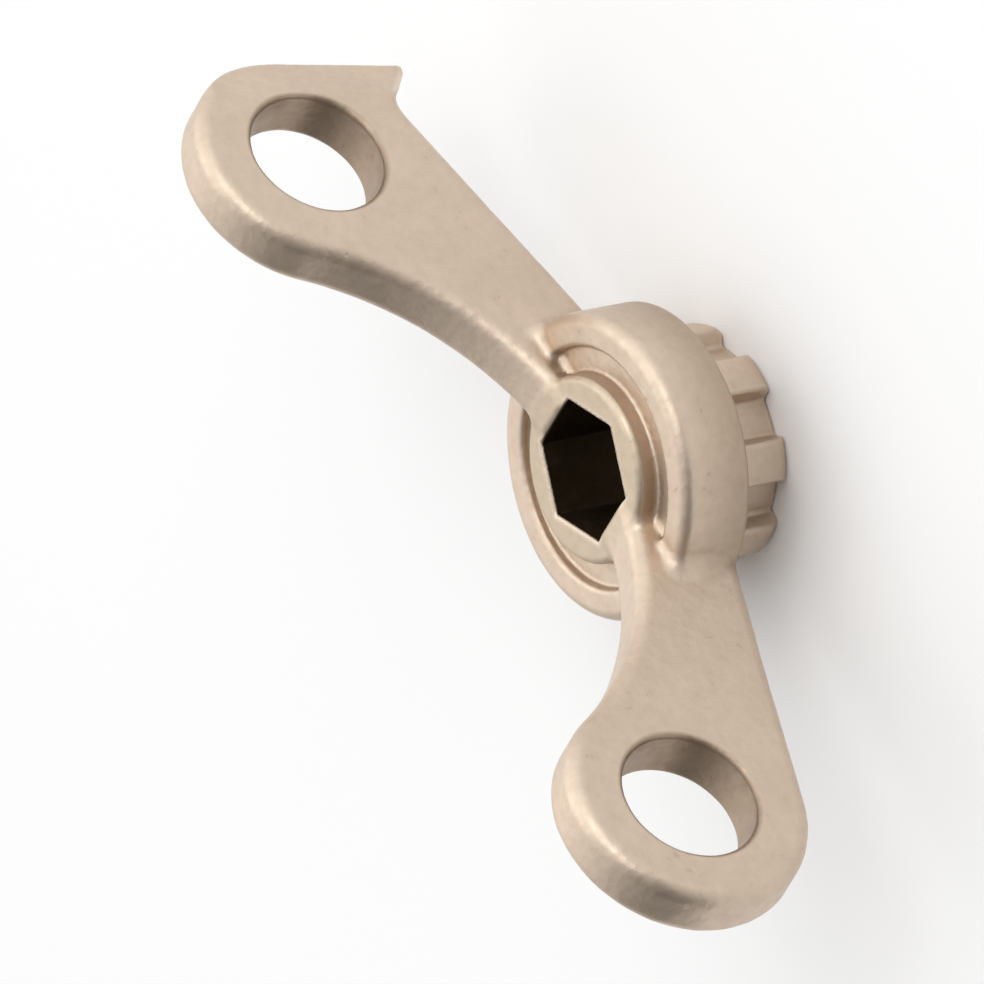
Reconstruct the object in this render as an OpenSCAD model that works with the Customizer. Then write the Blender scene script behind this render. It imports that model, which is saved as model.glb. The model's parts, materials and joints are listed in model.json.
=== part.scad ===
// Wing tool for the splined preload cap of a crank, cast in one piece.
// The origin is the centre of the splined boss's end face, +Z runs up the tool's axis,
// the wings lie along X, and the wing with the blade points to +X.

/* [Hub] */
// Outside diameter of the hub
hub_d = 20; // [18:0.1:26]
// Height of the hub from its underside to its rim
hub_h = 5.2; // [4.2:0.1:9]
// Width of the rim's flat and its rounded edges
rim_w = 2.2; // [1.4:0.1:2.6]
// Radius on the rim's outer edge
rim_round = 0.9; // [0.3:0.1:1.2]
// Radius on the rim's inner edge
rim_inner_round = 0.4; // [0.2:0.05:0.4]
// Depth of the round groove inside the rim
groove_depth = 0.7; // [0.7:0.1:2.6]
// Radius in the groove's two corners
groove_round = 0.25; // [0.15:0.05:0.25]
// Outside diameter of the ring round the hexagon socket
ring_d = 12.2; // [11:0.1:14]
// Rise of that ring above the rim
ring_rise = 0.8; // [0.5:0.1:1.5]
// Radius on the ring's outer edge
ring_round = 0.5; // [0.2:0.05:0.6]
// Radius on the hub's lower edge
under_round = 0.4; // [0.2:0.1:0.8]

/* [Drive] */
// Width of the hexagon socket across its flats
hex_af = 8; // [6:0.1:9]
// Width of the bevel at both mouths of the socket
hex_bevel = 0.15; // [0.1:0.05:0.4]
// Number of teeth on the boss
spline_teeth = 8; // [6:1:10]
// Diameter over the teeth
spline_d = 15.8; // [14.5:0.1:17]
// Diameter at the foot of the teeth
spline_root_d = 13.2; // [12:0.1:14]
// Width of one tooth
tooth_w = 2.8; // [2:0.1:3.4]
// Length of the boss below the hub
spline_len = 4.6; // [3:0.1:8]
// Bevel at the free end of the teeth
spline_bevel = 0.5; // [0.2:0.1:1]

/* [Wings] */
// Distance from the tool's axis to the centre of a wing's hole
wing_reach = 26; // [22:0.5:36]
// Height of that centre above the hub's underside
wing_rise = 13; // [10:0.5:20]
// Diameter of the round end of a wing
lobe_d = 16.5; // [13.5:0.1:20]
// Thickness of the wings
wing_t = 4; // [3:0.1:4.4]
// Radius on the wings' edges
wing_round = 1.1; // [0.4:0.1:1.4]
// Height of the wings' upper edges above the rim, at their lowest point on the axis
saddle_rise = 0.4; // [0.2:0.1:0.8]
// Height of the wing's lower edge above the hub's underside, at the hub's wall
wing_foot = 0.2; // [0:0.1:1]
// Radius of the fillets where the wings leave the hub
root_fillet = 1.5; // [0.5:0.1:2.5]
// Diameter of the hole in a wing
hole_d = 9; // [6:0.1:11]
// Radius on the hole's edges
hole_round = 0.5; // [0.2:0.1:1]

/* [Blade] */
// Angle between the blade's outer edge and the tool's axis
blade_lean = 11.5; // [0:0.5:25]
// Length of that edge, from the round end of the wing to the tip
blade_len = 8.9; // [7:0.1:12]
// Width of the tip
tip_w = 0.8; // [0.4:0.1:1.6]
// Slope of the tip's inner edge
tip_slope = 33; // [15:1:50]
// Width of the blade where it leaves the wing
blade_w = 4.4; // [3:0.1:6]
// Thickness of the blade's outer edge
blade_t = 1.1; // [0.5:0.1:2]
// Metal left between the hole and the start of the bevel
bevel_gap = 0.15; // [0.05:0.05:0.5]

/* [Hidden] */
$fn = 96;
// Depth by which joined solids reach into each other
sink = 0.3;
// Length by which cutters pass a surface
pass = 1;
// Facets in a quarter round on the hub
quarter_steps = 5;
// Facets in a quarter round on the wings' edges
edge_steps = 4;
// Steps along a wing inside the hub, along its neck, and along each half of its lobe
hub_steps = 4;
neck_steps = 8;
lobe_steps = 11;

hub_r = hub_d / 2;
ring_r = ring_d / 2;
lobe_r = lobe_d / 2;
hole_r = hole_d / 2;
hex_r = hex_af / sqrt(3);
half_t = wing_t / 2;

under_z = spline_len;
rim_z = under_z + hub_h;
ring_z = rim_z + ring_rise;
groove_z = rim_z - groove_depth;
hole_z = under_z + wing_rise;
foot_z = under_z + wing_foot;

// The wings' upper edges are one arc centred on the axis and tangent to both lobes.
saddle_low_z = rim_z + saddle_rise;
saddle_drop = saddle_low_z - hole_z;
saddle_r = (pow(wing_reach, 2) + pow(saddle_drop, 2) - pow(lobe_r, 2)) / (2 * (lobe_r - saddle_drop));
saddle_z = saddle_low_z + saddle_r;
saddle_angle = atan2(hole_z - saddle_z, wing_reach);
saddle_hub_angle = -acos(hub_r / saddle_r);

// A wing's lower edge runs straight from the hub's foot, tangent to the lobe.
foot_run = wing_reach - hub_r;
foot_climb = hole_z - foot_z;
foot_reach = norm([foot_run, foot_climb]);
lower_angle = atan2(foot_climb, foot_run) - asin(lobe_r / foot_reach);
lower_len = sqrt(pow(foot_reach, 2) - pow(lobe_r, 2));
// The lobe's outline is halved between the two edges.
lobe_sweep = (saddle_angle + 180 - (lower_angle - 90)) / 2;

// The bevels run from beside the hole to the blade's outer edge.
bevel_w = lobe_r - hole_r - bevel_gap;
bevel_cut = (half_t - blade_t / 2) / bevel_w;

// Points of an arc, both ends included
function arc(cx, cy, r, from, to, steps) =
    [for (i = [0:steps]) let (a = from + (to - from) * i / steps) [cx + r * cos(a), cy + r * sin(a)]];

// Half section of the hub: radius and height
function hub_section() = concat(
    [[0, under_z]],
    arc(hub_r - under_round, under_z + under_round, under_round, -90, 0, quarter_steps),
    arc(hub_r - rim_round, rim_z - rim_round, rim_round, 0, 90, quarter_steps),
    arc(hub_r - rim_w + rim_inner_round, rim_z - rim_inner_round, rim_inner_round, 90, 180, quarter_steps),
    arc(hub_r - rim_w - groove_round, groove_z + groove_round, groove_round, 0, -90, quarter_steps),
    arc(ring_r + groove_round, groove_z + groove_round, groove_round, 270, 180, quarter_steps),
    arc(ring_r - ring_round, ring_z - ring_round, ring_round, 0, 90, quarter_steps),
    [[0, ring_z]]
);

// Stations along one wing, from the axis to the wing's end. Each has a point on the lower edge and one on the
// upper edge, as x and z, drawn in by an inset.
function lower_edge(inset) = concat(
    [for (i = [0:hub_steps - 1]) mix([0, (under_z + groove_z) / 2], neck_point(0, inset), i / hub_steps)],
    [for (i = [0:neck_steps]) neck_point(lower_len * i / neck_steps, inset)],
    [for (i = [1:lobe_steps]) lobe_point(lower_angle - 90 + lobe_sweep * i / lobe_steps, inset)]
);

function upper_edge(inset) = concat(
    [for (i = [0:hub_steps - 1]) saddle_point(mix(-90, saddle_hub_angle, i / hub_steps), inset)],
    [for (i = [0:neck_steps]) saddle_point(mix(saddle_hub_angle, saddle_angle, i / neck_steps), inset)],
    [for (i = [1:lobe_steps - 1]) lobe_point(saddle_angle + 180 - lobe_sweep * i / lobe_steps, inset)]
);

function neck_point(run, inset) = [
    hub_r + run * cos(lower_angle) - inset * sin(lower_angle),
    foot_z + run * sin(lower_angle) + inset * cos(lower_angle)
];
function lobe_point(a, inset) = [wing_reach + (lobe_r - inset) * cos(a), hole_z + (lobe_r - inset) * sin(a)];
function saddle_point(a, inset) = [(saddle_r + inset) * cos(a), saddle_z + (saddle_r + inset) * sin(a)];

function mix(a, b, share) = a + (b - a) * share;

function reversed(points) = [for (i = [len(points) - 1:-1:0]) points[i]];
function mirrored(points) = [for (p = points) [-p[0], p[1]]];
function without_first(points) = [for (i = [1:len(points) - 1]) points[i]];

// Outline of both wings as one plate: out along +X, back over the saddle, and the same mirrored
function wing_outline(inset) =
    let (low = lower_edge(inset), high = upper_edge(inset))
        concat(low, reversed(high), mirrored(without_first(high)), mirrored(reversed(without_first(low))));

// Levels across the plate: y and the inset there, with a quarter round on each edge
function edge_levels() = [
    for (side = [-1, 1], i = [0:edge_steps])
        let (a = 90 * (side < 0 ? edge_steps - i : i) / edge_steps)
            [side * (half_t - wing_round * (1 - sin(a))), wing_round * (1 - cos(a))]
];

// Triangles that fill one wing's half of the outline between its stations
function cap_half(stations, loop, side) = [
    for (i = [0:stations - 1])
        let (
            a = (side * i + loop) % loop,
            b = (side * (i + 1) + loop) % loop,
            c = side * (2 * stations - i - 1) + (side < 0 ? loop : 0),
            d = side * (2 * stations - i) + (side < 0 ? loop : 0)
        )
            each (i < stations - 1 ? [[a, b, c], [a, c, d]] : [[a, b, d]])
];

module wing_plate() {
    levels = edge_levels();
    loop = len(wing_outline(0));
    stations = len(lower_edge(0)) - 1;
    top = (len(levels) - 1) * loop;
    points = [for (level = levels, p = wing_outline(level[1])) [p[0], level[0], p[1]]];
    walls = [for (k = [0:len(levels) - 2], i = [0:loop - 1])
        let (a = k * loop + i, b = k * loop + (i + 1) % loop)
            each [[a, b, b + loop], [a, b + loop, a + loop]]];
    right = cap_half(stations, loop, 1);
    left = cap_half(stations, loop, -1);
    caps = concat(
        [for (f = right) reversed(f)],
        left,
        [for (f = right) [for (v = f) v + top]],
        [for (f = left) [for (v = reversed(f)) v + top]]
    );
    polyhedron(points, concat(walls, caps), convexity = 6);
}

module hub_body() {
    rotate_extrude() polygon(hub_section());
}

// Fillets in the four corners between the wings' faces and the hub's wall
module root_fillets() {
    centre_x = sqrt(pow(hub_r + root_fillet, 2) - pow(half_t + root_fillet, 2));
    hub_end = 180 + atan2(half_t + root_fillet, centre_x);
    corner = concat(
        [[hub_r - 2 * sink, half_t - sink], [centre_x, half_t - sink]],
        arc(centre_x, half_t + root_fillet, root_fillet, 270, hub_end, 2 * quarter_steps)
    );
    low = foot_z + (centre_x - hub_r) * tan(lower_angle) + wing_round;
    high = rim_z - rim_round;
    for (mx = [0, 1], my = [0, 1])
        mirror([mx, 0, 0]) mirror([0, my, 0])
            translate([0, 0, low]) linear_extrude(high - low) polygon(corner);
}

// Places its children at the +X wing's hole, with X square to the blade's outer edge
module at_blade() {
    translate([wing_reach, 0, hole_z]) rotate([0, blade_lean, 0]) children();
}

module blade_body() {
    root_z = (blade_w - tip_w) * tan(tip_slope) - blade_len;
    at_blade() rotate([90, 0, 0]) linear_extrude(wing_t, center = true)
        polygon([
            [lobe_r, 0],
            [lobe_r - blade_w, 0],
            [lobe_r - blade_w, root_z],
            [lobe_r - tip_w, -blade_len],
            [lobe_r, -blade_len]
        ]);
}

module blade_bevels() {
    section = [
        [lobe_r - bevel_w, half_t],
        [lobe_r + pass, half_t - (bevel_w + pass) * bevel_cut],
        [lobe_r + pass, half_t + pass],
        [lobe_r - bevel_w, half_t + pass]
    ];
    bevel_len = blade_len + lobe_r + 2 * pass;
    for (my = [0, 1])
        at_blade() mirror([0, my, 0])
            translate([0, 0, -blade_len - pass]) linear_extrude(bevel_len) polygon(section);
}

// A wing's hole with a quarter round at both edges
module wing_hole(side) {
    lip = concat(
        [[0, half_t + pass], [0, half_t - hole_round]],
        arc(hole_r + hole_round, half_t - hole_round, hole_round, 180, 90, quarter_steps),
        [[hole_r + hole_round, half_t + pass]]
    );
    translate([side * wing_reach, 0, hole_z]) rotate([90, 0, 0]) {
        cylinder(r = hole_r, h = wing_t + 2 * pass, center = true);
        for (mz = [0, 1]) mirror([0, 0, mz]) rotate_extrude() polygon(lip);
    }
}

// Boss with straight teeth that fits the cap's notches
module splined_boss() {
    spline_r = spline_d / 2;
    envelope = [
        [0, 0],
        [spline_r - spline_bevel, 0],
        [spline_r, spline_bevel],
        [spline_r, spline_len + sink],
        [0, spline_len + sink]
    ];
    intersection() {
        rotate_extrude() polygon(envelope);
        union() {
            cylinder(d = spline_root_d, h = spline_len + sink);
            for (i = [0:spline_teeth - 1])
                rotate(360 * i / spline_teeth) translate([0, -tooth_w / 2, 0])
                    cube([spline_r + pass, tooth_w, spline_len + sink]);
        }
    }
}

// Hexagon socket right through the tool, with its flats square to the wings
module hex_socket() {
    mouth_h = hex_bevel + sink;
    mouth_r = (hex_af / 2 + mouth_h) / cos(30);
    rotate(30) {
        translate([0, 0, -pass]) cylinder(r = hex_r, h = ring_z + 2 * pass, $fn = 6);
        translate([0, 0, -sink]) cylinder(r1 = mouth_r, r2 = hex_r, h = mouth_h, $fn = 6);
        translate([0, 0, ring_z - hex_bevel]) cylinder(r1 = hex_r, r2 = mouth_r, h = mouth_h, $fn = 6);
    }
}

module wing_tool() {
    color([0.82, 0.77, 0.70])
        difference() {
            union() {
                hub_body();
                splined_boss();
                difference() {
                    union() {
                        wing_plate();
                        blade_body();
                    }
                    blade_bevels();
                }
                root_fillets();
            }
            hex_socket();
            for (side = [-1, 1]) wing_hole(side);
        }
}

wing_tool();
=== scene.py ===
"""A cast wing tool for the splined preload cap of a crank, standing on its boss on a pale floor.

The tool is one casting, so it is one mesh. Its shape is a signed distance field in millimetres, in the
frame of the construction model, with the fillets and rounded edges that a casting has. The field is
turned into a mesh of small quads, and their corners are moved onto its surface.
"""

import json
import math

import bpy
import numpy as np
from mathutils import Matrix, Vector


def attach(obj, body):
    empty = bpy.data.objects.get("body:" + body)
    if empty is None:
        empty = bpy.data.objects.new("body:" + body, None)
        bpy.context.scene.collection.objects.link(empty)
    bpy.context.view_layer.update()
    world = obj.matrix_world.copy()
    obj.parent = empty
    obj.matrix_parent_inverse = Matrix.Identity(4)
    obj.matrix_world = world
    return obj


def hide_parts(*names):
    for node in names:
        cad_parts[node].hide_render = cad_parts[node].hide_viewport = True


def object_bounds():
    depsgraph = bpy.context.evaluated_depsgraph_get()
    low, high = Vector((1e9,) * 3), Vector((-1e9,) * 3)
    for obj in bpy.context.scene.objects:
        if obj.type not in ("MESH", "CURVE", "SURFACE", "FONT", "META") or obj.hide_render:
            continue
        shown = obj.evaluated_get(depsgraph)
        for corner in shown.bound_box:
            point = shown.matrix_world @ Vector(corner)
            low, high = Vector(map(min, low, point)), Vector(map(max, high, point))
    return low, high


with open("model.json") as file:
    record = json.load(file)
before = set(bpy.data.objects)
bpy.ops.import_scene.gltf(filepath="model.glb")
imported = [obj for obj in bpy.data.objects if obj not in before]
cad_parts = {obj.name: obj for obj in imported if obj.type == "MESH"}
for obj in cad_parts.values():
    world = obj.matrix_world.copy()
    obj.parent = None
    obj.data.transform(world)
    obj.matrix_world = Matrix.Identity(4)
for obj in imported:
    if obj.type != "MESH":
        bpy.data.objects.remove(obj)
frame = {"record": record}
cad_low, cad_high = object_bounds()

MM = 0.001
BODY = "root"
NODE = "wing_tool"
PIECE = NODE + "_cast"

# The tool's sizes are in millimetres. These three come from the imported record.
MOUNTS = {m["name"]: m for m in frame["record"]["mounts"]}
WING_HOLE = MOUNTS["wing_hole_blade_side"]
WING_REACH = WING_HOLE["pos_m"][0] / MM
HOLE_Z = WING_HOLE["pos_m"][2] / MM
HOLE_R = WING_HOLE["dims"]["r_mm"]

# Hub
UNDER_Z = 4.6
UNDER_ROUND = 0.4
HUB_R = 10.0
HUB_H = 5.2
RIM_Z = UNDER_Z + HUB_H
RIM_W = 2.2
RIM_ROUND = 0.9
RIM_INNER_ROUND = 0.4
GROOVE_DEPTH = 0.7
GROOVE_Z = RIM_Z - GROOVE_DEPTH
GROOVE_ROUND = 0.25
RING_R = 6.1
RING_RISE = 0.8
RING_Z = RIM_Z + RING_RISE
RING_ROUND = 0.5

# Socket and splined boss
HEX_HALF = 4.0
HEX_DIRECTIONS = [(math.cos(math.radians(turn)), math.sin(math.radians(turn))) for turn in (-60, 0, 60)]
HEX_EDGE = 0.15
TOOTH_COUNT = 8
TOOTH_TIP_R = 7.9
TOOTH_FOOT_R = 6.6
TOOTH_HALF = 1.4
TOOTH_BEVEL = 0.5
TOOTH_EDGE = 0.25
BOSS_EDGE = 0.15

# Wings. Their fillet at the hub has one size inside the rim, and grows from low to high outside it.
LOBE_R = 8.25
HALF_T = 2.0
WING_ROUND = 1.1
WING_FOOT_Z = UNDER_Z + 0.2
WING_INNER_Z = UNDER_Z + HUB_H / 3
SADDLE_Z = RIM_Z + 0.4
HOLE_ROUND = 0.5
FILLET_INSIDE = 0.6
FILLET_LOW = 0.3
FILLET_HIGH = 1.2
RIM_CROSSING_R = (8.6, 10.4)

# Blade. In its own plane, u runs out from the wing's hole and v up along the blade.
BLADE_LEAN = math.radians(11.5)
BLADE_LEN = 8.9
BLADE_W = 4.4
BLADE_HALF_T = 0.55
BLADE_FILLET = 0.5
BLADE_FILLET_END_U = (6.0, 7.2)
TIP_W = 0.8
TIP_SLOPE = math.radians(33)
TIP_EDGE = 0.3
TIP_START_U = (3.0, 5.0)
TIP_START_V = (-5.5, -8.0)
BEVEL_GAP = 0.15
BEVEL_EDGE = 0.12

# Cast surface. Each set of waves has its height, seed, count, shortest and longest wave. The drive has only
# a share of them, out to a radius, and they start just above the foot.
CAST_INSET = 0.035
CAST_WAVES = ((0.016, 3, 14, 5.0, 11.0), (0.004, 7, 18, 1.2, 2.6))
DRIVE_SHARE = 0.25
DRIVE_END_R = (8.5, 11.0)
FOOT_END_Z = (0.0, 0.6)

# Mesh
CELL = 0.20
MARGIN = 3
PROJECT_STEPS = 4
PULL_TO_MIDDLE = 0.03
GRADIENT_STEP = 0.02
LEAST_STEEPNESS = 0.25
EDGE_REACH = 0.5
HOLLOW_REACH = 1.6

# Colours of the steel, and of the reflection, shade and highlight painted on it
DARK_STEEL = (0.61, 0.495, 0.39, 1)
LIGHT_STEEL = (0.665, 0.545, 0.435, 1)
SPECKLED = (0.52, 0.42, 0.33, 1)
# Painted reflection of dark surroundings: browns the lower part of the hub's side and the wing holes' walls
SIDE_AND_HOLE_SHADE = (0.33, 0.245, 0.175, 1)
# Darker and browner on the ring round the socket, and painted shade at the blade's tip
RING_AND_TIP_DARKENING = (0.47, 0.395, 0.275, 1)
# Lighter on raised edges, partly from wear and partly a painted highlight
EDGE_WEAR_AND_HIGHLIGHT = (0.78, 0.665, 0.56, 1)
# Painted shade: browner deep in the hollows
HOLLOW_SHADE = (0.40, 0.295, 0.21, 1)
PIT = (0.30, 0.23, 0.17, 1)
# Painted shade: the socket's walls are near black for the deep shade in the through hole
SOCKET_SHADE = (0.12, 0.085, 0.05, 1)

# How much of each colour there is where it is strongest
SPECKLE_SHARE = 0.25
SIDE_SHADE_SHARE = 0.55
HOLE_SHADE_SHARE = 0.85
RING_AND_TIP_SHARE = 0.45
EDGE_WEAR_AND_HIGHLIGHT_SHARE = 0.6
HOLLOW_SHADE_SHARE = 0.4
PIT_SHARE = 0.3

# Where a colour begins and where it is full, as distances from the size that it follows. The hub's side has
# two heights instead.
SOCKET_WALL = (0.11, 0.07)
SOCKET_MOUTH = (-0.12, -0.2)
RING_OUTSIDE = (0.1, -0.3)
RING_BOTTOM = (0.0, 0.4)
RING_TOP = (0.5, 0.1)
TIP_NEAR = (1.0, 0.4)
SIDE_INSIDE = (-0.7, -0.2)
SIDE_OUTSIDE = (1.2, 0.2)
SIDE_HEIGHTS = (RIM_Z - 1.2, UNDER_Z + 0.8)
HOLE_WALL = (0.45, 0.2)

# Noises, with their scale per metre, detail and roughness, and the values between which they work
CLOUDS = (180.0, 4.0, 0.6)
SPECKLE = (1300.0, 3.0, 0.6)
GRAIN = (3200.0, 3.0, 0.6)
PEEL_SCALE = 1500.0
CLOUD_SPAN = (0.35, 0.65)
SPECKLE_SPAN = (0.3, 0.7)
PIT_SPAN = (0.67, 0.80)
EDGE_SPAN = (0.15, 0.8)
HOLLOW_SPAN = (0.35, 1.0)

# Roughness by the clouds, taken off at the edges and varied by the speckle
CLOUD_GLOSS_SPAN = (0.3, 0.7)
CLOUD_ROUGHNESS = (0.40, 0.50)
EDGE_POLISH = (0.0, 0.10)
SPECKLE_GLOSS_SPAN = (0.35, 0.7)
SPECKLE_ROUGHNESS = (-0.03, 0.07)

# Bumps, with their strength and their depth in metres
PEEL_BUMP = (0.5, 0.00004)
GRAIN_BUMP = (0.5, 0.00003)
PIT_BUMP = (0.6, 0.00005)

# Floor, in metres. The lift is light on it that only the camera, reflections and glass see.
FLOOR_HALF = 2.5
FLOOR_Z = -0.00003
FLOOR_COLOUR = (0.90, 0.90, 0.90, 1)
FLOOR_ROUGHNESS = 0.9
FLOOR_LIFT = 0.015

# Light, in metres and watts. The world is brightest in one direction.
WORLD_DIRECTION = (1.0, -0.1, 0.35)
WORLD_SPAN = (-0.8, 0.8)
WORLD_STRENGTH = (0.15, 1.3)
SOFTBOXES = {"key": ((0.10, -0.75, 0.65), 1.8), "rim": ((0.65, 0.10, 0.75), 0.9)}
SOFTBOX_DISTANCE = 0.9
SOFTBOX_SIZE = 0.7
SOFTBOX_TARGET = (0, 0, 0.015)

# Camera. Its direction from the tool and its roll are those of the photograph.
CAMERA_DIRECTION = (-0.4340, -0.7092, 0.5556)
CAMERA_UP = (0.7797, -0.6046, -0.1626)
CAMERA_DISTANCE = 1.2
CAMERA_CLIP = (0.05, 10)
SENSOR_WIDTH = 36
PICTURE_FILL = 0.88


def smooth_step(low, high, value):
    """0 at low, 1 at high and a smooth step between them."""
    t = np.clip((value - low) / (high - low), 0, 1)
    return t * t * (3 - 2 * t)


def join(a, b, radius):
    """Union of two fields, with a fillet of that radius in the corner between them."""
    gap = np.hypot(np.maximum(radius - a, 0), np.maximum(radius - b, 0))
    return np.maximum(radius, np.minimum(a, b)) - gap


def meet(a, b, radius):
    """Intersection of two fields, with that radius on the edge between them."""
    return -join(-a, -b, radius)


def wing_outline(x, z):
    """Distance to the outline of both wings in their own plane."""
    x = np.abs(x)
    # The upper edge is an arc that runs into both lobes, and the lower edge is a line that touches the lobe
    drop = SADDLE_Z - HOLE_Z
    saddle_r = (WING_REACH**2 + drop**2 - LOBE_R**2) / (2 * (LOBE_R - drop))
    saddle_z = SADDLE_Z + saddle_r
    run, climb = WING_REACH - HUB_R, HOLE_Z - WING_FOOT_Z
    lower = math.atan2(climb, run) - math.asin(LOBE_R / math.hypot(run, climb))
    saddle = saddle_r - np.hypot(x, z - saddle_z)
    edge = (x - HUB_R) * math.sin(lower) - (z - WING_FOOT_Z) * math.cos(lower)
    inside_lean = math.atan2(WING_INNER_Z - WING_FOOT_Z, HUB_R)
    inner = (HUB_R - x) * math.sin(inside_lean) - (z - WING_FOOT_Z) * math.cos(inside_lean)
    neck = np.maximum(np.maximum(saddle, edge), inner)
    lobe = np.hypot(x - WING_REACH, z - HOLE_Z) - LOBE_R
    to_saddle = (x - WING_REACH) * (saddle_z - HOLE_Z) + (z - HOLE_Z) * WING_REACH
    to_edge = (x - WING_REACH) * math.cos(lower) + (z - HOLE_Z) * math.sin(lower)
    return np.where((to_saddle > 0) | (to_edge > 0), lobe, neck)


def blade_outline(u, v):
    """Distance to the outline of the blade in its own plane."""
    slope = (LOBE_R - TIP_W - u) * math.sin(TIP_SLOPE) - (v + BLADE_LEN) * math.cos(TIP_SLOPE)
    tip = meet(slope, -BLADE_LEN - v, TIP_EDGE)
    tip = meet(tip, u - LOBE_R, TIP_EDGE)
    return np.maximum(np.maximum(tip, LOBE_R - BLADE_W - u), v)


def blade_point(u, v):
    """The place of a point of the blade's plane."""
    x = WING_REACH + u * math.cos(BLADE_LEAN) + v * math.sin(BLADE_LEAN)
    return x, 0.0, HOLE_Z - u * math.sin(BLADE_LEAN) + v * math.cos(BLADE_LEAN)


def wings(x, y, z):
    """Both wings as one plate, with the blade and its bevels on the +X wing."""
    u = (x - WING_REACH) * math.cos(BLADE_LEAN) - (z - HOLE_Z) * math.sin(BLADE_LEAN)
    v = (x - WING_REACH) * math.sin(BLADE_LEAN) + (z - HOLE_Z) * math.cos(BLADE_LEAN)
    fillet = BLADE_FILLET * (1 - smooth_step(*BLADE_FILLET_END_U, u))
    outline = join(wing_outline(x, z), blade_outline(u, v), fillet)
    at_tip = smooth_step(*TIP_START_V, v) * smooth_step(*TIP_START_U, u)
    plate = meet(outline, np.abs(y) - HALF_T, WING_ROUND + (TIP_EDGE - WING_ROUND) * at_tip)
    bevel_start = HOLE_R + BEVEL_GAP
    bevel_slope = (HALF_T - BLADE_HALF_T) / (LOBE_R - bevel_start)
    bevel = (np.abs(y) - HALF_T + (u - bevel_start) * bevel_slope) / math.hypot(1, bevel_slope)
    return meet(plate, bevel, BEVEL_EDGE)


def hub(r, z):
    """The hub with its rim, groove and inner ring."""
    body = meet(r - HUB_R, z - RIM_Z, RIM_ROUND)
    dish = meet(r - (HUB_R - RIM_W), GROOVE_Z - z, GROOVE_ROUND)
    body = meet(body, -dish, RIM_INNER_ROUND)
    core = meet(r - RING_R, z - RING_Z, RING_ROUND)
    return join(body, core, GROOVE_ROUND)


def boss(x, y, z, r):
    """The splined boss under the hub."""
    sector = 2 * math.pi / TOOTH_COUNT
    turn = np.arctan2(y, x)
    across = r * np.sin(turn - sector * np.round(turn / sector))
    tooth = meet(r - TOOTH_TIP_R, np.abs(across) - TOOTH_HALF, TOOTH_EDGE)
    body = join(r - TOOTH_FOOT_R, tooth, TOOTH_EDGE)
    body = meet(body, (r - TOOTH_TIP_R + TOOTH_BEVEL - z) / math.sqrt(2), BOSS_EDGE)
    body = meet(body, -z, BOSS_EDGE)
    return np.maximum(body, z - UNDER_Z - UNDER_ROUND)


def socket(x, y, z):
    """The hexagon socket. It goes right through, and flares above the ring, where the wings are higher."""
    across = [np.abs(x * u + y * v) for u, v in HEX_DIRECTIONS]
    body = np.maximum.reduce(across) - HEX_HALF
    return np.minimum(body, (body - z + RING_Z) / math.sqrt(2))


def tool(p):
    """The whole tool's field at an array of points."""
    x, y, z = p[..., 0], p[..., 1], p[..., 2]
    r = np.hypot(x, y)
    fillet_outside = FILLET_LOW + (FILLET_HIGH - FILLET_LOW) * smooth_step(UNDER_Z, RIM_Z - RIM_ROUND, z)
    fillet = FILLET_INSIDE + (fillet_outside - FILLET_INSIDE) * smooth_step(*RIM_CROSSING_R, r)
    body = join(hub(r, z), wings(x, y, z), fillet)
    body = meet(body, UNDER_Z - z, UNDER_ROUND)
    body = join(body, boss(x, y, z, r), TOOTH_EDGE)
    body = meet(body, -socket(x, y, z), HEX_EDGE)
    hole = np.hypot(np.abs(x) - WING_REACH, z - HOLE_Z) - HOLE_R
    return meet(body, -hole, HOLE_ROUND)


def unevenness(p, seed, waves, shortest, longest):
    """A smooth random field of about unit height, made of plane waves."""
    rng = np.random.default_rng(seed)
    total = np.zeros(p.shape[:-1])
    for _ in range(waves):
        direction = rng.normal(size=3)
        length = rng.uniform(shortest, longest)
        k = direction / np.linalg.norm(direction) * 2 * math.pi / length
        total += np.sin(p @ k + rng.uniform(0, 2 * math.pi))
    return total * math.sqrt(2 / waves)


def cast_tool(p):
    """The tool with the slight unevenness of a cast surface, kept inside the construction model's faces. The
    drive has less of it, and the face that the tool stands on has none."""
    free = smooth_step(*DRIVE_END_R, np.hypot(p[..., 0], p[..., 1]))
    above = smooth_step(*FOOT_END_Z, p[..., 2])
    waviness = sum(height * unevenness(p, *waves) for height, *waves in CAST_WAVES)
    return tool(p) + (CAST_INSET + waviness) * (DRIVE_SHARE + (1 - DRIVE_SHARE) * free) * above


def gradient(field, p):
    """The field's slope at each point, along the three axes."""
    steps = np.eye(3) * GRADIENT_STEP
    slopes = [(field(p + s) - field(p - s)) / (2 * GRADIENT_STEP) for s in steps]
    return np.stack(slopes, axis=-1)


def unit_normals(field, p):
    """The directions in which the field grows."""
    normals = gradient(field, p)
    return normals / np.linalg.norm(normals, axis=1)[:, None]


def grid_of(low, high):
    """Samples of the field on a grid that covers the box, and the grid's first corner."""
    start = np.array(low) / MM - MARGIN * CELL
    count = np.ceil((np.array(high) / MM - start) / CELL).astype(int) + MARGIN + 1
    axes = [start[i] + CELL * np.arange(count[i]) for i in range(3)]
    values = np.empty(count)
    for i, x in enumerate(axes[0]):
        plane = np.stack(np.meshgrid([x], axes[1], axes[2], indexing="ij"), axis=-1)
        values[i] = tool(plane)[0]
    return start, values


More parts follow.
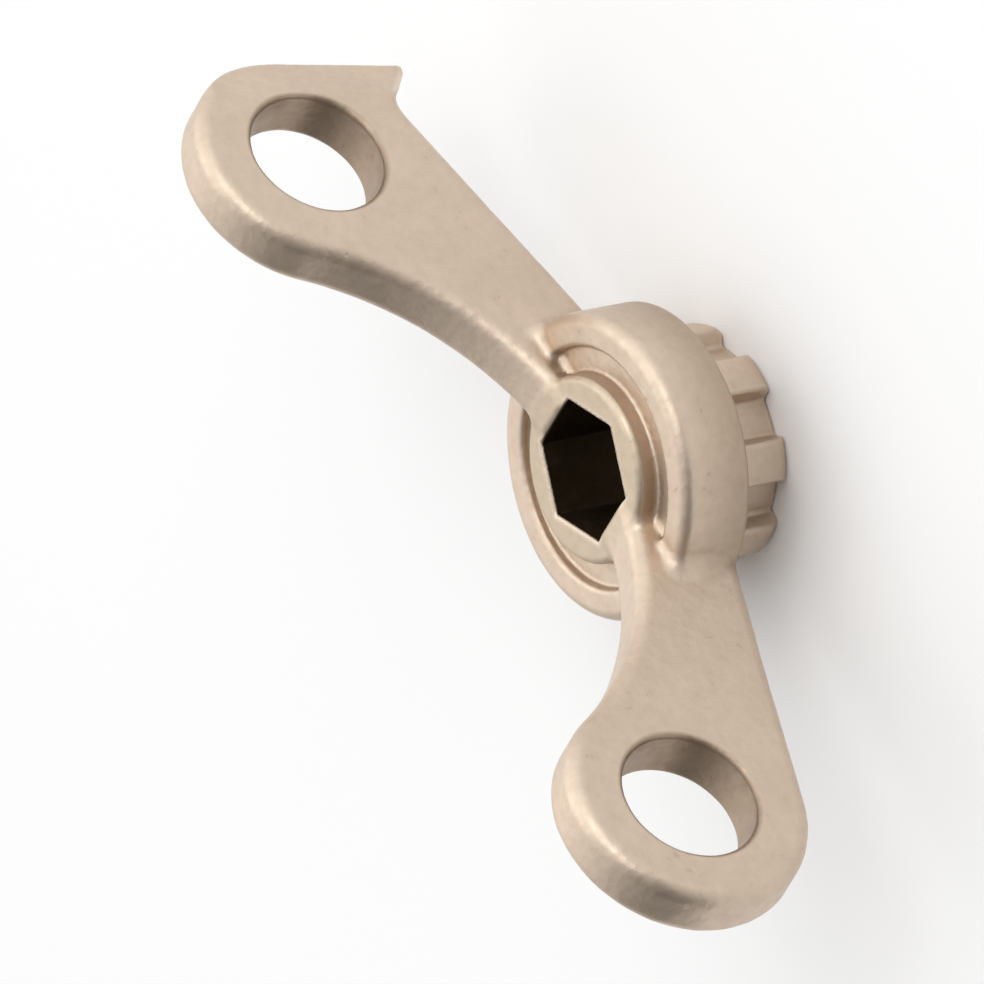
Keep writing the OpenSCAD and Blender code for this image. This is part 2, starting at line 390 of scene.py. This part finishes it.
def crossed_edges(start, values, axis):
    """Where the surface crosses the grid edges along one axis, and the ring of four cells round each
    such edge."""
    one, two = (axis + 1) % 3, (axis + 2) % 3
    low = np.take(values, range(values.shape[axis] - 1), axis)
    high = np.take(values, range(1, values.shape[axis]), axis)
    edges = np.argwhere((low < 0) != (high < 0))
    low, high = low[tuple(edges.T)], high[tuple(edges.T)]
    sites = edges.astype(float)
    sites[:, axis] += low / (low - high)
    rings = np.repeat(edges[:, None], 4, axis=1)
    rings[..., one] -= (1, 0, 0, 1)
    rings[..., two] -= (1, 1, 0, 0)
    entering = low >= 0
    rings[entering] = rings[entering][:, ::-1]
    return start + sites * CELL, rings


def contour(start, values):
    """A quad round each grid edge that the surface crosses. A crossed cell has one point, where the tangent
    planes at its crossed edges meet, so that narrow edges and corners come out straight."""
    crossed = [crossed_edges(start, values, axis) for axis in range(3)]
    sites = np.concatenate([pair[0] for pair in crossed])
    rings = np.concatenate([pair[1] for pair in crossed])
    numbers = np.ravel_multi_index(tuple(rings.reshape(-1, 3).T), values.shape)
    cells, quads = np.unique(numbers, return_inverse=True)
    quads = quads.reshape(-1, 4)
    normals = unit_normals(tool, sites)
    planes = normals[:, :, None] * normals[:, None, :]
    offsets = normals * (normals * sites).sum(axis=1)[:, None]
    slant, pull = np.zeros((len(cells), 3, 3)), np.zeros((len(cells), 3))
    for corner in quads.T:
        np.add.at(slant, corner, planes + PULL_TO_MIDDLE * np.eye(3))
        np.add.at(pull, corner, offsets + PULL_TO_MIDDLE * sites)
    points = np.linalg.solve(slant, pull[..., None])[..., 0]
    low = start + np.stack(np.unravel_index(cells, values.shape), axis=1) * CELL
    return np.clip(points, low, low + CELL), quads


def on_surface(points):
    """The points moved onto the uneven surface, and kept in the construction model's box."""
    for _ in range(PROJECT_STEPS):
        slope = gradient(cast_tool, points)
        steep = np.maximum((slope**2).sum(axis=1), LEAST_STEEPNESS)
        points = points - np.clip(cast_tool(points) / steep, -CELL, CELL)[:, None] * slope
    return np.clip(points, np.array(cad_low) / MM, np.array(cad_high) / MM)


def shade_attribute(mesh, name, values):
    data = mesh.attributes.new(name, "FLOAT", "POINT").data
    data.foreach_set("value", np.clip(values, 0, 1).astype(np.float32))


def new_object(name, data):
    obj = bpy.data.objects.new(name, data)
    bpy.context.scene.collection.objects.link(obj)
    return obj


def casting():
    """The tool's mesh. Its attributes say how near each point is to a raised edge, and how deep it lies in
    a hollow."""
    points, quads = contour(*grid_of(cad_low, cad_high))
    points = on_surface(points)
    normals = unit_normals(cast_tool, points)
    mesh = bpy.data.meshes.new(PIECE)
    mesh.from_pydata((points * MM).tolist(), [], quads.tolist())
    mesh.validate()
    mesh.shade_smooth()
    mesh.normals_split_custom_set_from_vertices(normals.tolist())
    shade_attribute(mesh, "edge", (EDGE_REACH + tool(points - EDGE_REACH * normals)) / EDGE_REACH)
    shade_attribute(mesh, "hollow", (HOLLOW_REACH - tool(points + HOLLOW_REACH * normals)) / HOLLOW_REACH)
    return new_object(PIECE, mesh)


class Nodes:
    """A short way to write the nodes of a material or of the world."""

    def __init__(self, tree):
        self.tree = tree

    def add(self, kind, settings=None, **inputs):
        node = self.tree.nodes.new(kind)
        for key, value in (settings or {}).items():
            setattr(node, key, value)
        for key, value in inputs.items():
            self.put(node, key.replace("_", " "), value)
        return node

    def put(self, node, key, value):
        socket_in = node.inputs[int(key)] if key.isdigit() else node.inputs[key]
        if isinstance(value, bpy.types.NodeSocket):
            self.tree.links.new(value, socket_in)
        else:
            socket_in.default_value = value

    def noise(self, place, look):
        scale, detail, roughness = look
        node = self.add("ShaderNodeTexNoise", Vector=place, Scale=scale, Detail=detail, Roughness=roughness)
        return node.outputs["Fac"]

    def ramp(self, value, span, result=(0.0, 1.0), settings=None):
        node = self.add("ShaderNodeMapRange", settings, Value=value, From_Min=span[0], From_Max=span[1],
                        To_Min=result[0], To_Max=result[1])
        return node.outputs["Result"]

    def mix(self, share, a, b):
        """Two colours mixed, through the sockets that the node has for colours."""
        node = self.add("ShaderNodeMix", {"data_type": "RGBA"})
        self.put(node, "0", share)
        self.put(node, "6", a)
        self.put(node, "7", b)
        return node.outputs[2]

    def maths(self, operation, a, b=0.0, clamp=False):
        node = self.add("ShaderNodeMath", {"operation": operation, "use_clamp": clamp})
        self.put(node, "0", a)
        self.put(node, "1", b)
        return node.outputs[0]

    def vector(self, operation, a, b=(0.0, 0.0, 0.0)):
        node = self.add("ShaderNodeVectorMath", {"operation": operation})
        self.put(node, "0", a)
        self.put(node, "1", b)
        return node.outputs["Value" if operation in ("DOT_PRODUCT", "LENGTH", "DISTANCE") else "Vector"]


def new_material(name):
    material = bpy.data.materials.new(name)
    material.use_nodes = True
    return material, Nodes(material.node_tree), material.node_tree.nodes["Principled BSDF"]


def cast_steel():
    """Plated cast steel: a fine blasted grain with small pits, cloudy gloss, edges brighter from wear and
    from a painted highlight, and painted shade that browns the hollows. The wing holes' walls and the lower
    part of the hub's side are brown with a painted reflection of dark surroundings. The ring round the socket
    and the blade's tip are darker and browner, the tip with painted shade, and the socket's walls are painted
    near black for the deep shade inside it."""
    material, n, shader = new_material("cast_steel")
    place = n.add("ShaderNodeTexCoord").outputs["Object"]
    edge = n.add("ShaderNodeAttribute", {"attribute_name": "edge"}).outputs["Fac"]
    hollow = n.add("ShaderNodeAttribute", {"attribute_name": "hollow"}).outputs["Fac"]
    clouds, speckle, grain = (n.noise(place, look) for look in (CLOUDS, SPECKLE, GRAIN))
    peel = n.add("ShaderNodeTexVoronoi", Vector=place, Scale=PEEL_SCALE).outputs["Distance"]
    pits = n.ramp(speckle, PIT_SPAN)

    def near(value, size, limits, share=1.0):
        """Nothing at the first limit from a size, and the full share at the second."""
        return n.ramp(value, (size + limits[0], size + limits[1]), (0.0, share))

    point = n.vector("MULTIPLY", place, (1 / MM, 1 / MM, 1 / MM))
    height = n.vector("DOT_PRODUCT", point, (0.0, 0.0, 1.0))
    from_axis = n.vector("LENGTH", n.vector("MULTIPLY", point, (1.0, 1.0, 0.0)))
    side_on = n.vector("MULTIPLY", point, (1.0, 0.0, 1.0))
    from_hole = n.vector("DISTANCE", n.vector("ABSOLUTE", side_on), (WING_REACH, 0.0, HOLE_Z))
    from_tip = n.vector("DISTANCE", side_on, blade_point(LOBE_R - TIP_W / 2, -BLADE_LEN))
    across = [n.maths("ABSOLUTE", n.vector("DOT_PRODUCT", point, (u, v, 0.0))) for u, v in HEX_DIRECTIONS]
    across = n.maths("MAXIMUM", n.maths("MAXIMUM", across[0], across[1]), across[2])

    in_socket = n.maths("MULTIPLY", near(across, HEX_HALF, SOCKET_WALL), near(height, RING_Z, SOCKET_MOUTH))
    on_ring = n.maths("MULTIPLY", near(height, RIM_Z, RING_BOTTOM), near(height, RING_Z, RING_TOP))
    # Darker on the ring round the socket, and painted shade at the blade's tip
    ring_and_tip_darkening = n.maths("MULTIPLY", near(from_axis, RING_R, RING_OUTSIDE, RING_AND_TIP_SHARE), on_ring)
    ring_and_tip_darkening = n.maths("ADD", ring_and_tip_darkening, near(from_tip, 0.0, TIP_NEAR, RING_AND_TIP_SHARE))
    on_side = n.maths("MULTIPLY", near(from_axis, HUB_R, SIDE_INSIDE), near(from_axis, HUB_R, SIDE_OUTSIDE))
    # Painted reflection of dark surroundings: brown on the hub's side, darker towards its bottom, and on the
    # wing holes' walls
    side_and_hole_shade = n.maths("MULTIPLY", on_side, n.ramp(height, SIDE_HEIGHTS, (0.0, SIDE_SHADE_SHARE)))
    side_and_hole_shade = n.maths("MAXIMUM", side_and_hole_shade, near(from_hole, HOLE_R, HOLE_WALL, HOLE_SHADE_SHARE))

    metal = n.mix(n.ramp(clouds, CLOUD_SPAN), DARK_STEEL, LIGHT_STEEL)
    metal = n.mix(n.ramp(speckle, SPECKLE_SPAN, (0.0, SPECKLE_SHARE)), metal, SPECKLED)
    metal = n.mix(side_and_hole_shade, metal, SIDE_AND_HOLE_SHADE)
    metal = n.mix(ring_and_tip_darkening, metal, RING_AND_TIP_DARKENING)
    # Raised edges lighter, partly wear and partly a painted highlight
    metal = n.mix(n.ramp(edge, EDGE_SPAN, (0.0, EDGE_WEAR_AND_HIGHLIGHT_SHARE)), metal, EDGE_WEAR_AND_HIGHLIGHT)
    # Painted shade in the hollows, deeper hollows browner
    metal = n.mix(n.ramp(hollow, HOLLOW_SPAN, (0.0, HOLLOW_SHADE_SHARE)), metal, HOLLOW_SHADE)
    metal = n.mix(n.maths("MULTIPLY", pits, PIT_SHARE), metal, PIT)
    # Painted shade: the socket's walls are near black
    n.put(shader, "Base Color", n.mix(in_socket, metal, SOCKET_SHADE))
    n.put(shader, "Metallic", 1.0)

    roughness = n.ramp(clouds, CLOUD_GLOSS_SPAN, CLOUD_ROUGHNESS)
    roughness = n.maths("SUBTRACT", roughness, n.ramp(edge, EDGE_SPAN, EDGE_POLISH))
    roughness = n.maths("ADD", roughness, n.ramp(speckle, SPECKLE_GLOSS_SPAN, SPECKLE_ROUGHNESS))
    n.put(shader, "Roughness", roughness)

    reliefs = ((peel, PEEL_BUMP, False), (grain, GRAIN_BUMP, False), (pits, PIT_BUMP, True))
    normal = None
    for relief, (strength, depth), sunk in reliefs:
        bump = n.add("ShaderNodeBump", {"invert": sunk}, Strength=strength, Distance=depth, Height=relief)
        if normal is not None:
            n.put(bump, "Normal", normal)
        normal = bump.outputs["Normal"]
    n.put(shader, "Normal", normal)
    return material


def floor():
    """A pale plain floor just under the boss's end face."""
    corners = [(x * FLOOR_HALF, y * FLOOR_HALF, FLOOR_Z) for x, y in ((-1, -1), (1, -1), (1, 1), (-1, 1))]
    mesh = bpy.data.meshes.new("floor")
    mesh.from_pydata(corners, [], [(0, 1, 2, 3)])
    material, n, shader = new_material("floor")
    n.put(shader, "Base Color", FLOOR_COLOUR)
    n.put(shader, "Roughness", FLOOR_ROUGHNESS)
    n.put(shader, "Specular IOR Level", 0.0)
    path = n.add("ShaderNodeLightPath").outputs
    seen = path["Is Camera Ray"]
    for ray in ("Is Glossy Ray", "Is Transmission Ray"):
        seen = n.maths("ADD", seen, path[ray], clamp=True)
    n.put(shader, "Emission Color", (1.0, 1.0, 1.0, 1))
    n.put(shader, "Emission Strength", n.maths("MULTIPLY", seen, FLOOR_LIFT))
    mesh.materials.append(material)
    return new_object("floor", mesh)


def look_at(obj, direction, distance, target, roll_up=None):
    """Places an object in a direction from the target and turns its -Z axis to it."""
    back = Vector(direction).normalized()
    if roll_up is None:
        turn = back.to_track_quat("Z", "Y").to_matrix()
    else:
        up = Vector(roll_up).normalized()
        turn = Matrix((up.cross(back), up, back)).transposed()
    obj.matrix_world = Matrix.Translation(target + back * distance) @ turn.to_4x4()


def softbox(name, direction, power):
    light = bpy.data.lights.new(name, "AREA")
    light.shape = "DISK"
    light.size = SOFTBOX_SIZE
    light.energy = power
    look_at(new_object(name, light), direction, SOFTBOX_DISTANCE, Vector(SOFTBOX_TARGET))


def studio():
    """A pale world with soft lamps."""
    world = bpy.data.worlds.new("studio")
    bpy.context.scene.world = world
    world.use_nodes = True
    n = Nodes(world.node_tree)
    back = world.node_tree.nodes["Background"]
    facing = n.vector("DOT_PRODUCT", n.add("ShaderNodeTexCoord").outputs["Generated"], WORLD_DIRECTION)
    n.put(back, "Color", (1.0, 1.0, 1.0, 1))
    n.put(back, "Strength", n.ramp(facing, WORLD_SPAN, WORLD_STRENGTH, {"interpolation_type": "SMOOTHSTEP"}))
    for name, (direction, power) in SOFTBOXES.items():
        softbox(name, direction, power)


def camera(obj):
    """The photograph's viewing direction and roll, with the tool filling the picture."""
    toward = Vector(CAMERA_DIRECTION).normalized()
    up = Vector(CAMERA_UP)
    up = (up - toward * up.dot(toward)).normalized()
    right = up.cross(toward)
    points = [v.co for v in obj.data.vertices]
    across = [p.dot(right) for p in points]
    along = [p.dot(up) for p in points]
    depth = [p.dot(toward) for p in points]
    middle = [(min(values) + max(values)) / 2 for values in (across, along, depth)]
    target = right * middle[0] + up * middle[1] + toward * middle[2]
    span = max(max(across) - min(across), max(along) - min(along))
    data = bpy.data.cameras.new("camera")
    data.sensor_width = SENSOR_WIDTH
    data.lens = data.sensor_width * CAMERA_DISTANCE / (span / PICTURE_FILL)
    data.clip_start, data.clip_end = CAMERA_CLIP
    cam = new_object("camera", data)
    look_at(cam, toward, CAMERA_DISTANCE, target, up)
    bpy.context.scene.camera = cam


tool_piece = casting()
tool_piece.data.materials.append(cast_steel())
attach(tool_piece, BODY)
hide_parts(NODE)
floor()
studio()
camera(tool_piece)
bpy.context.scene.view_settings.view_transform = "Standard"
